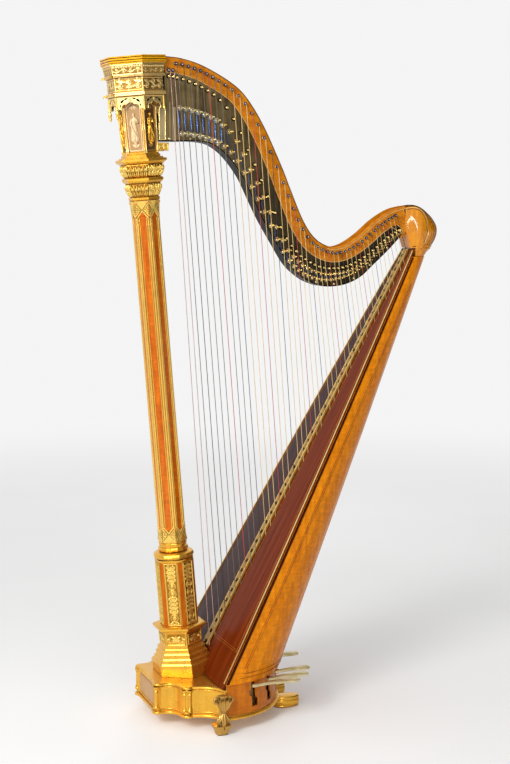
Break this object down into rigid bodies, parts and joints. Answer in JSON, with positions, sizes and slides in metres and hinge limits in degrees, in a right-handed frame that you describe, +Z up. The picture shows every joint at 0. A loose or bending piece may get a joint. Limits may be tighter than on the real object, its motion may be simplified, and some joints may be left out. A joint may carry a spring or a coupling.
{
  "type": "pedal harp",
  "caption": "Double-action pedal harp in the Gothic style: gilded hollow column, curved neck with fork discs, half-round soundbox and foot pedals in a shaped base.",
  "frame": {"origin": "centre of the harp's box, on the floor", "axes": "+Z up; +X from the column towards the soundbox; +Y across the harp, away from the side with the strings' discs"},
  "size_m": [0.9606, 0.464, 1.7806],
  "materials": {
    "gilded_wood": "gold leaf, burnished",
    "golden_maple": "figured maple, golden gloss varnish",
    "soundboard_varnish": "reddish brown varnished spruce",
    "action_brass": "aged brass plate",
    "bright_brass": "polished brass",
    "ebonised_wood": "black satin",
    "blued_steel": "blued",
    "iron": "plain",
    "gut_strings": "gut and wound strings"
  },
  "bodies": {
    "frame": {"column_plinth": "gilded_wood", "column_pedestal": "gilded_wood", "column_base_ring": "gilded_wood", "column_shaft": "golden_maple", "capital_bell": "gilded_wood", "capital_drum": "gilded_wood", "capital_head": "gilded_wood", "capital_slab": "golden_maple", "neck": "golden_maple", "action_plate_left": "action_brass", "action_plate_right": "action_brass", "action_soffit": "ebonised_wood", "shoulder": "golden_maple", "soundboard": "soundboard_varnish", "soundbox_shell": "golden_maple", "string_rib": "gut_strings", "box_floor": "gilded_wood", "box_front": "gilded_wood", "box_lid": "gilded_wood", "box_wall": "golden_maple", "front_foot_left": "gilded_wood", "front_foot_right": "gilded_wood", "rear_foot_left": "gilded_wood", "rear_foot_right": "gilded_wood", "pedal_axle": "iron"},
    "pedal_d": {"pedal_d": "bright_brass"},
    "pull_rod_d": {"pull_rod_d": "iron"},
    "upper_disc_d": {"upper_disc_d": "bright_brass"},
    "lower_disc_d": {"lower_disc_d": "bright_brass"},
    "disc_link_d": {"disc_link_d": "blued_steel"},
    "pedal_c": {"pedal_c": "bright_brass"},
    "pull_rod_c": {"pull_rod_c": "iron"},
    "upper_disc_c": {"upper_disc_c": "bright_brass"},
    "lower_disc_c": {"lower_disc_c": "bright_brass"},
    "disc_link_c": {"disc_link_c": "blued_steel"},
    "pedal_b": {"pedal_b": "bright_brass"},
    "pull_rod_b": {"pull_rod_b": "iron"},
    "upper_disc_b": {"upper_disc_b": "bright_brass"},
    "lower_disc_b": {"lower_disc_b": "bright_brass"},
    "disc_link_b": {"disc_link_b": "blued_steel"},
    "pedal_e": {"pedal_e": "bright_brass"},
    "pull_rod_e": {"pull_rod_e": "iron"},
    "upper_disc_e": {"upper_disc_e": "bright_brass"},
    "lower_disc_e": {"lower_disc_e": "bright_brass"},
    "disc_link_e": {"disc_link_e": "blued_steel"},
    "pedal_f": {"pedal_f": "bright_brass"},
    "pull_rod_f": {"pull_rod_f": "iron"},
    "upper_disc_f": {"upper_disc_f": "bright_brass"},
    "lower_disc_f": {"lower_disc_f": "bright_brass"},
    "disc_link_f": {"disc_link_f": "blued_steel"},
    "pedal_g": {"pedal_g": "bright_brass"},
    "pull_rod_g": {"pull_rod_g": "iron"},
    "upper_disc_g": {"upper_disc_g": "bright_brass"},
    "lower_disc_g": {"lower_disc_g": "bright_brass"},
    "disc_link_g": {"disc_link_g": "blued_steel"},
    "pedal_a": {"pedal_a": "bright_brass"},
    "pull_rod_a": {"pull_rod_a": "iron"},
    "upper_disc_a": {"upper_disc_a": "bright_brass"},
    "lower_disc_a": {"lower_disc_a": "bright_brass"},
    "disc_link_a": {"disc_link_a": "blued_steel"}
  },
  "joints": [
    {"name": "pedal_d_press", "type": "hinge", "parent": "frame", "child": "pedal_d", "pos_m": [-0.34063, -0.024, 0.062], "axis": [0, 1, 0], "range_deg": [0, 12.8], "stiffness_Nm_per_rad": 5, "springref_deg": -28.65},
    {"name": "pull_rod_d_slide", "type": "slide", "parent": "frame", "child": "pull_rod_d", "axis": [0.0774, -0.0079, -0.997], "range_m": [0, 0.01555]},
    {"name": "upper_disc_d_turn", "type": "hinge", "parent": "frame", "child": "upper_disc_d", "pos_m": [-0.18161, -0.0235, 1.6151], "axis": [0, -1, 0], "range_deg": [0, 63]},
    {"name": "lower_disc_d_turn", "type": "hinge", "parent": "frame", "child": "lower_disc_d", "pos_m": [-0.17716, -0.0235, 1.5579], "axis": [0, -1, 0], "range_deg": [0, 63]},
    {"name": "disc_link_d_swing", "type": "hinge", "parent": "upper_disc_d", "child": "disc_link_d", "pos_m": [-0.1874, -0.0235, 1.61465], "axis": [0, -1, 0], "range_deg": [-63, 0]},
    {"name": "pedal_c_press", "type": "hinge", "parent": "frame", "child": "pedal_c", "pos_m": [-0.34063, -0.016, 0.062], "axis": [0, 1, 0], "range_deg": [0, 9.9], "stiffness_Nm_per_rad": 5, "springref_deg": -28.65},
    {"name": "pull_rod_c_slide", "type": "slide", "parent": "frame", "child": "pull_rod_c", "axis": [0.0774, -0.0053, -0.997], "range_m": [0, 0.01208]},
    {"name": "upper_disc_c_turn", "type": "hinge", "parent": "frame", "child": "upper_disc_c", "pos_m": [-0.19852, -0.0235, 1.62314], "axis": [0, -1, 0], "range_deg": [0, 63]},
    {"name": "lower_disc_c_turn", "type": "hinge", "parent": "frame", "child": "lower_disc_c", "pos_m": [-0.19396, -0.0235, 1.56429], "axis": [0, -1, 0], "range_deg": [0, 63]},
    {"name": "disc_link_c_swing", "type": "hinge", "parent": "upper_disc_c", "child": "disc_link_c", "pos_m": [-0.2043, -0.0235, 1.62269], "axis": [0, -1, 0], "range_deg": [-63, 0]},
    {"name": "pedal_b_press", "type": "hinge", "parent": "frame", "child": "pedal_b", "pos_m": [-0.34063, -0.008, 0.062], "axis": [0, 1, 0], "range_deg": [0, 8.5], "stiffness_Nm_per_rad": 5, "springref_deg": -28.65},
    {"name": "pull_rod_b_slide", "type": "slide", "parent": "frame", "child": "pull_rod_b", "axis": [0.0774, -0.0026, -0.997], "range_m": [0, 0.01039]},
    {"name": "upper_disc_b_turn", "type": "hinge", "parent": "frame", "child": "upper_disc_b", "pos_m": [-0.21536, -0.0235, 1.62981], "axis": [0, -1, 0], "range_deg": [0, 63]},
    {"name": "lower_disc_b_turn", "type": "hinge", "parent": "frame", "child": "lower_disc_b", "pos_m": [-0.21071, -0.0235, 1.56937], "axis": [0, -1, 0], "range_deg": [0, 63]},
    {"name": "disc_link_b_swing", "type": "hinge", "parent": "upper_disc_b", "child": "disc_link_b", "pos_m": [-0.22114, -0.0235, 1.62936], "axis": [0, -1, 0], "range_deg": [-63, 0]},
    {"name": "pedal_e_press", "type": "hinge", "parent": "frame", "child": "pedal_e", "pos_m": [-0.34063, 0, 0.062], "axis": [0, 1, 0], "range_deg": [0, 7.9], "stiffness_Nm_per_rad": 5, "springref_deg": -28.65},
    {"name": "pull_rod_e_slide", "type": "slide", "parent": "frame", "child": "pull_rod_e", "axis": [0.0774, 0, -0.997], "range_m": [0, 0.00967]},
    {"name": "upper_disc_e_turn", "type": "hinge", "parent": "frame", "child": "upper_disc_e", "pos_m": [-0.2829, -0.0235, 1.64561], "axis": [0, -1, 0], "range_deg": [0, 63]},
    {"name": "lower_disc_e_turn", "type": "hinge", "parent": "frame", "child": "lower_disc_e", "pos_m": [-0.27792, -0.0235, 1.57925], "axis": [0, -1, 0], "range_deg": [0, 63]},
    {"name": "disc_link_e_swing", "type": "hinge", "parent": "upper_disc_e", "child": "disc_link_e", "pos_m": [-0.28868, -0.0235, 1.64518], "axis": [0, -1, 0], "range_deg": [-63, 0]},
    {"name": "pedal_f_press", "type": "hinge", "parent": "frame", "child": "pedal_f", "pos_m": [-0.34063, 0.008, 0.062], "axis": [0, 1, 0], "range_deg": [0, 8.5], "stiffness_Nm_per_rad": 5, "springref_deg": -28.65},
    {"name": "pull_rod_f_slide", "type": "slide", "parent": "frame", "child": "pull_rod_f", "axis": [0.0774, 0.0026, -0.997], "range_m": [0, 0.01039]},
    {"name": "upper_disc_f_turn", "type": "hinge", "parent": "frame", "child": "upper_disc_f", "pos_m": [-0.26604, -0.0235, 1.64393], "axis": [0, -1, 0], "range_deg": [0, 63]},
    {"name": "lower_disc_f_turn", "type": "hinge", "parent": "frame", "child": "lower_disc_f", "pos_m": [-0.26114, -0.0235, 1.57896], "axis": [0, -1, 0], "range_deg": [0, 63]},
    {"name": "disc_link_f_swing", "type": "hinge", "parent": "upper_disc_f", "child": "disc_link_f", "pos_m": [-0.27182, -0.0235, 1.64349], "axis": [0, -1, 0], "range_deg": [-63, 0]},
    {"name": "pedal_g_press", "type": "hinge", "parent": "frame", "child": "pedal_g", "pos_m": [-0.34063, 0.016, 0.062], "axis": [0, 1, 0], "range_deg": [0, 9.9], "stiffness_Nm_per_rad": 5, "springref_deg": -28.65},
    {"name": "pull_rod_g_slide", "type": "slide", "parent": "frame", "child": "pull_rod_g", "axis": [0.0774, 0.0053, -0.997], "range_m": [0, 0.01208]},
    {"name": "upper_disc_g_turn", "type": "hinge", "parent": "frame", "child": "upper_disc_g", "pos_m": [-0.24912, -0.0235, 1.63984], "axis": [0, -1, 0], "range_deg": [0, 63]},
    {"name": "lower_disc_g_turn", "type": "hinge", "parent": "frame", "child": "lower_disc_g", "pos_m": [-0.24429, -0.0235, 1.57636], "axis": [0, -1, 0], "range_deg": [0, 63]},
    {"name": "disc_link_g_swing", "type": "hinge", "parent": "upper_disc_g", "child": "disc_link_g", "pos_m": [-0.2549, -0.0235, 1.6394], "axis": [0, -1, 0], "range_deg": [-63, 0]},
    {"name": "pedal_a_press", "type": "hinge", "parent": "frame", "child": "pedal_a", "pos_m": [-0.34063, 0.024, 0.062], "axis": [0, 1, 0], "range_deg": [0, 12.8], "stiffness_Nm_per_rad": 5, "springref_deg": -28.65},
    {"name": "pull_rod_a_slide", "type": "slide", "parent": "frame", "child": "pull_rod_a", "axis": [0.0774, 0.0079, -0.997], "range_m": [0, 0.01555]},
    {"name": "upper_disc_a_turn", "type": "hinge", "parent": "frame", "child": "upper_disc_a", "pos_m": [-0.23227, -0.0235, 1.63569], "axis": [0, -1, 0], "range_deg": [0, 63]},
    {"name": "lower_disc_a_turn", "type": "hinge", "parent": "frame", "child": "lower_disc_a", "pos_m": [-0.22753, -0.0235, 1.5737], "axis": [0, -1, 0], "range_deg": [0, 63]},
    {"name": "disc_link_a_swing", "type": "hinge", "parent": "upper_disc_a", "child": "disc_link_a", "pos_m": [-0.23805, -0.0235, 1.63525], "axis": [0, -1, 0], "range_deg": [-63, 0]}
  ],
  "couplings": [
    {"joint": "pull_rod_d_slide", "follows": "pedal_d_press", "m_per_rad": 0.06822},
    {"joint": "upper_disc_d_turn", "follows": "pedal_d_press", "ratio": 4.8438},
    {"joint": "lower_disc_d_turn", "follows": "pedal_d_press", "ratio": 4.8438},
    {"joint": "disc_link_d_swing", "follows": "pedal_d_press", "ratio": -4.8438},
    {"joint": "pull_rod_c_slide", "follows": "pedal_c_press", "m_per_rad": 0.06853},
    {"joint": "upper_disc_c_turn", "follows": "pedal_c_press", "ratio": 6.2626},
    {"joint": "lower_disc_c_turn", "follows": "pedal_c_press", "ratio": 6.2626},
    {"joint": "disc_link_c_swing", "follows": "pedal_c_press", "ratio": -6.2626},
    {"joint": "pull_rod_b_slide", "follows": "pedal_b_press", "m_per_rad": 0.06869},
    {"joint": "upper_disc_b_turn", "follows": "pedal_b_press", "ratio": 7.2941},
    {"joint": "lower_disc_b_turn", "follows": "pedal_b_press", "ratio": 7.2941},
    {"joint": "disc_link_b_swing", "follows": "pedal_b_press", "ratio": -7.2941},
    {"joint": "pull_rod_e_slide", "follows": "pedal_e_press", "m_per_rad": 0.06875},
    {"joint": "upper_disc_e_turn", "follows": "pedal_e_press", "ratio": 7.8481},
    {"joint": "lower_disc_e_turn", "follows": "pedal_e_press", "ratio": 7.8481},
    {"joint": "disc_link_e_swing", "follows": "pedal_e_press", "ratio": -7.8481},
    {"joint": "pull_rod_f_slide", "follows": "pedal_f_press", "m_per_rad": 0.06868},
    {"joint": "upper_disc_f_turn", "follows": "pedal_f_press", "ratio": 7.2941},
    {"joint": "lower_disc_f_turn", "follows": "pedal_f_press", "ratio": 7.2941},
    {"joint": "disc_link_f_swing", "follows": "pedal_f_press", "ratio": -7.2941},
    {"joint": "pull_rod_g_slide", "follows": "pedal_g_press", "m_per_rad": 0.06853},
    {"joint": "upper_disc_g_turn", "follows": "pedal_g_press", "ratio": 6.2626},
    {"joint": "lower_disc_g_turn", "follows": "pedal_g_press", "ratio": 6.2626},
    {"joint": "disc_link_g_swing", "follows": "pedal_g_press", "ratio": -6.2626},
    {"joint": "pull_rod_a_slide", "follows": "pedal_a_press", "m_per_rad": 0.06822},
    {"joint": "upper_disc_a_turn", "follows": "pedal_a_press", "ratio": 4.8438},
    {"joint": "lower_disc_a_turn", "follows": "pedal_a_press", "ratio": 4.8438},
    {"joint": "disc_link_a_swing", "follows": "pedal_a_press", "ratio": -4.8438}
  ]
}
